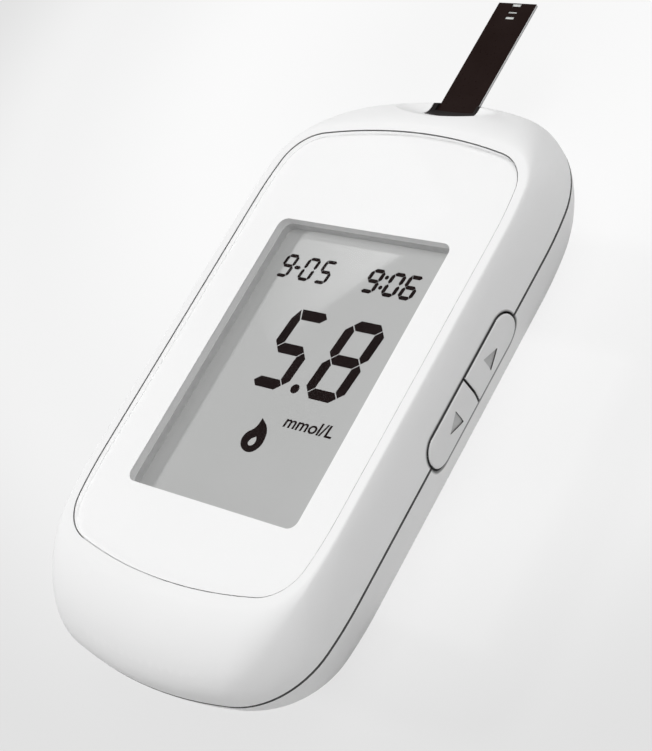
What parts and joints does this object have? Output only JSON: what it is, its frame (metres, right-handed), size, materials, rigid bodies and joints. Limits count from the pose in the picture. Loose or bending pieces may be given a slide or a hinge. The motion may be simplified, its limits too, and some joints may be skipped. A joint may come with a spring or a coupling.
{
  "type": "blood glucose meter",
  "caption": "Handheld blood glucose meter: white rounded case, full-face clear lens over a display, side buttons, a test strip in the end port and a sliding battery door.",
  "frame": {"origin": "centre of the flat back that the meter rests on", "axes": "+Z out of the display, +Y along the meter towards the test strip port, +X towards the side buttons"},
  "size_m": [0.0502, 0.1157, 0.0214],
  "materials": {
    "shell_white": "satin",
    "key_white": "satin",
    "lens_clear": "polished",
    "film_white": "printed",
    "gasket_grey": "foam",
    "strip_silver": "satin",
    "lcd_glass": "polished",
    "lcd_reflector": "satin",
    "holder_white": "satin",
    "elastomer": "matte",
    "board_green": "coated",
    "chip_black": "matte",
    "crystal_metal": "satin",
    "capacitor_tan": "matte",
    "switch_black": "matte",
    "bezel_black": "satin",
    "connector_ivory": "satin",
    "battery_jacket": "satin",
    "contact_steel": "nickel plated",
    "screw_steel": "zinc plated",
    "strip_dark": "gloss",
    "strip_white": "matte",
    "electrode_silver": "printed"
  },
  "bodies": {
    "case": {"upper_shell": "shell_white", "lower_shell": "shell_white", "face_lens": "lens_clear", "mask_film": "film_white", "lcd_gasket": "gasket_grey", "lcd_front_glass": "lcd_glass", "lcd_back_glass": "lcd_glass", "lcd_reflector": "lcd_reflector", "lcd_holder": "holder_white", "lcd_connector": "elastomer", "main_board": "board_green", "processor": "chip_black", "memory_chip": "chip_black", "clock_crystal": "crystal_metal", "board_capacitors": "capacitor_tan", "buzzer": "chip_black", "switch_up": "switch_black", "switch_down": "switch_black", "port_bezel": "bezel_black", "strip_connector": "connector_ivory", "strip_contacts": "contact_steel", "battery_left": "battery_jacket", "battery_right": "battery_jacket", "positive_contact": "contact_steel", "negative_contact": "contact_steel", "link_contact": "contact_steel", "case_screws": "screw_steel", "board_screws": "screw_steel"},
    "button_up": {"button_up": "key_white"},
    "button_down": {"button_down": "key_white"},
    "battery_door": {"battery_door": "shell_white"},
    "test_strip": {"strip_base": "strip_silver", "strip_electrodes": "electrode_silver", "strip_spacer": "strip_white", "strip_cover": "strip_dark"}
  },
  "joints": [
    {"name": "button_up_press", "type": "slide", "parent": "case", "child": "button_up", "axis": [-1, 0, 0], "range_m": [0, 0.0006], "stiffness_N_per_m": 800},
    {"name": "button_down_press", "type": "slide", "parent": "case", "child": "button_down", "axis": [-1, 0, 0], "range_m": [0, 0.0006], "stiffness_N_per_m": 800},
    {"name": "battery_door_slide", "type": "slide", "parent": "case", "child": "battery_door", "axis": [0, -1, 0], "range_m": [0, 0.056]},
    {"name": "test_strip_slide", "type": "slide", "parent": "case", "child": "test_strip", "axis": [0, 1, 0], "range_m": [0, 0.016]}
  ]
}
